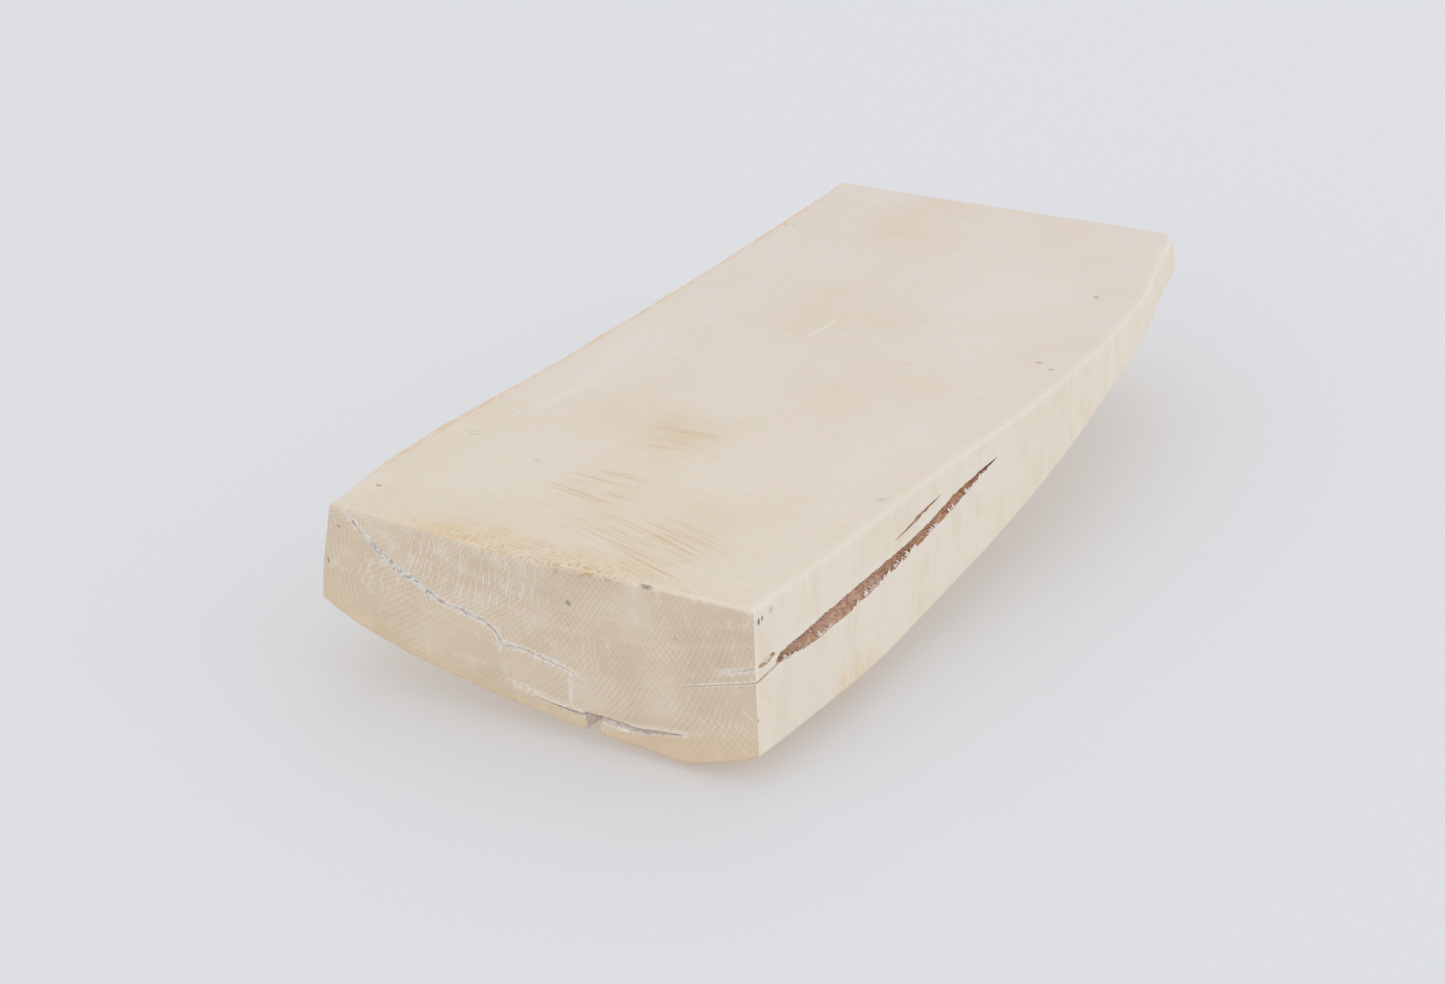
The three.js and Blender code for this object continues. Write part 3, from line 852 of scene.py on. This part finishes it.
def side_grain(place):
    """Soft upright bands that waver and lean, whiter along the splits, with a yellow patch low down."""
    y, z = place.part("Y"), place.part("Z")
    leaned = place.shift(0, z * -0.22 + place.noise((11, 11, 11), 2) * 9, 0)
    bands = leaned.noise((9, 2.6, 15), 2)
    thin = leaned.noise((9, 0.8, 9), 3)
    blotch = place.noise((9, 5, 7), 3)
    soft = place.noise((20, 30, 14), 3)
    colour = tint(shade(237, 227, 209), shade(231, 216, 190), bands.ramp(0.44, 0.66) * 0.42)
    colour = tint(colour, shade(226, 210, 183), blotch.ramp(0.48, 0.72) * 0.4)
    colour = tint(colour, shade(240, 233, 221), thin.ramp(0.5, 0.72) * 0.28)
    colour = tint(colour, shade(232, 220, 208), soft.ramp(0.45, 0.7) * 0.4)
    beside_split = abs(z - y.curve(SPLIT_LINE, -20, 0)).ramp(4.0, 1.2) * y.ramp(96, 80)
    cloudy = place.noise((2.5, 5, 1.4), 2).ramp(0.35, 0.65)
    colour = tint(colour, shade(236, 231, 224), beside_split * cloudy * 0.6)
    yellow = place.spot((0, 31, -24), (9, 12, 5)) * thin.ramp(0.3, 0.6)
    colour = tint(colour, shade(232, 196, 134), yellow * 0.6)
    colour = tint(colour, WHITE, place.stroke((3.6, 112, -13.5), (3.4, 128, -10.8), 0.5) * 0.7)
    flecks = place.spots(
        ((0, 1.4, -2.6), (3, 0.6, 0.9), 1),
        ((0, 2.4, -2.4), (3, 0.5, 0.7), 0.9),
        ((0, 5.0, -2.0), (3, 1.2, 1.1), 0.35),
        ((0.6, 0.2, -19), (3, 0.35, 0.5), 0.6),
    )
    crumbs = place.noise((0.6, 0.35, 2.0), 1).ramp(0.2, 0.45)
    colour = tint(colour, GREY, flecks.ramp(0, 0.7) * crumbs * 0.85)
    chip_rim = place.spot((0.4, *CHIP), (3, 2.8, 0.75)).ramp(0.02, 0.2)
    colour = tint(colour, AMBER_BROWN, chip_rim * place.noise((1, 1, 0.8), 1).ramp(0.4, 0.6) * 0.5)
    # painted highlight: a pale band along the top of the side, under the sawn face's arris
    colour = tint(colour, shade(239, 231, 216), (z + thin * 0.8).ramp(-1.1, -0.1) * 0.45)
    brown_line = place.stroke((0.6, -1.5, -12.6), (0.9, 8.5, -11.4), 0.35)
    colour = tint(colour, shade(176, 124, 88), brown_line * 0.6)
    return colour, 0.5 + soft * 0.1, bands * 0.04 + thin * 0.02


def tusk_outside(place):
    """The tusk's own outside: a thin warm layer with fine grooves along it."""
    lines = place.noise((1.3, 60, 1.3), 3)
    soft = place.noise((24, 50, 24), 3)
    colour = tint(shade(218, 198, 166), shade(204, 176, 134), soft.ramp(0.4, 0.7) * 0.8)
    colour = tint(colour, shade(186, 154, 112), lines.ramp(0.52, 0.7) * 0.45)
    rubbed = place.noise((12, 30, 12), 3).ramp(0.55, 0.7)
    colour = tint(colour, shade(228, 216, 194), rubbed * 0.5)
    return colour, 0.52 + lines * 0.15, lines * 0.12 + soft * 0.1


def torn_fibre(place):
    """The lining of a split: short red-brown fibres with pale flecks of broken ivory, greyer near the thick
    end and more orange towards the tip."""
    fibre = place.noise((0.5, 0.35, 0.9), 3, 1.5)
    clump = place.noise((2, 4, 1.5), 3).ramp(0.46, 0.62)
    colour = tint(shade(238, 200, 172), shade(240, 190, 150), place.part("Y").ramp(30, 70))
    colour = tint(colour, shade(176, 122, 92), fibre.ramp(0.44, 0.6) * 0.85)
    middle = place.spot((0, 33, -11), (20, 12, 9))
    colour = tint(colour, shade(236, 206, 176), clump * (0.4 + middle * 0.5))
    upper_split = place.spot((0, 53, -5.2), (9, 12, 1.6)).ramp(0, 0.4)
    colour = tint(colour, shade(244, 214, 186), upper_split * 0.5)
    pale = place.noise((0.3, 0.4, 0.5), 2).ramp(0.58, 0.68)
    return tint(colour, shade(244, 232, 218), pale * 0.7), 0.85, fibre * 0.45


def chalk(place):
    """Dust that the saw packed into a crack, with dark spots painted as the shade in pits where the dust has
    dropped out.
    """
    pits = place.noise((0.7, 0.7, 0.7), 3)
    grit = place.noise((0.35, 0.35, 0.35), 2).ramp(0.5, 0.66)
    colour = tint(shade(216, 212, 205), shade(178, 173, 165), grit * 0.5)
    return tint(colour, shade(128, 117, 100), pits.ramp(0.57, 0.7) * 0.7), 0.95, pits * 0.2


def fresh_break(place):
    """Clean ivory where a layer has come away: pale pink and silky, whiter in the notch, and deep under the
    right flap redder and darker, the darkening painted shade of the recess."""
    streak = place.noise((0.6, 5, 0.6), 2)
    lumps = place.noise((0.8, 0.8, 0.8), 2)
    colour = tint(shade(236, 228, 220), shade(218, 196, 180), streak.ramp(0.45, 0.7) * 0.6)
    in_notch = place.spot((-29, 3, -27), (3, 7, 4)).ramp(0, 0.5)
    colour = tint(colour, shade(240, 228, 216), in_notch * lumps.ramp(0.35, 0.55) * 0.7)
    # deeper in under the right flap: a redder tone of the break, darkened further as painted shade of the
    # recess
    deep = place.part("Y").ramp(2.5, 7.0) * place.part("X").ramp(-28, -26)
    return tint(colour, shade(196, 142, 120), deep * 0.8), 0.7, streak * 0.1 + lumps * 0.3


def chipped(place):
    """The bed of a flake: pale, with the amber stain that creeps in round its rim."""
    stain = place.spot((0, *CHIP), (4, 3.0, 0.75)).ramp(0.42, 0.2)
    stain = stain + place.spot((0, 1.9, -9.9), (4, 1.3, 0.6)).ramp(0.1, 0.5)
    stain = stain * place.noise((0.7, 0.7, 0.5), 2).ramp(0.38, 0.5)
    return tint(shade(236, 224, 208), shade(194, 142, 84), stain.capped() * 0.8), 0.7, stain * 0.05


def dried(place):
    """Thin ivory that has dried white."""
    streak = place.noise((0.25, 0.6, 0.4), 2)
    return tint(shade(240, 233, 225), shade(224, 205, 188), streak.ramp(0.5, 0.7) * 0.7), 0.6, streak * 0.05


# in the order of the slab's six sides and the four linings
FINISHES = (
    side_grain, side_grain, end_grain, end_grain, tusk_outside, sawn_top,
    torn_fibre, chalk, fresh_break, chipped,
)
for paint in dict.fromkeys((*FINISHES, dried)):
    finish(paint.__name__, paint)
splinters.data.materials.append(bpy.data.materials["dried"])
for paint in FINISHES:
    slab.data.materials.append(bpy.data.materials[paint.__name__])
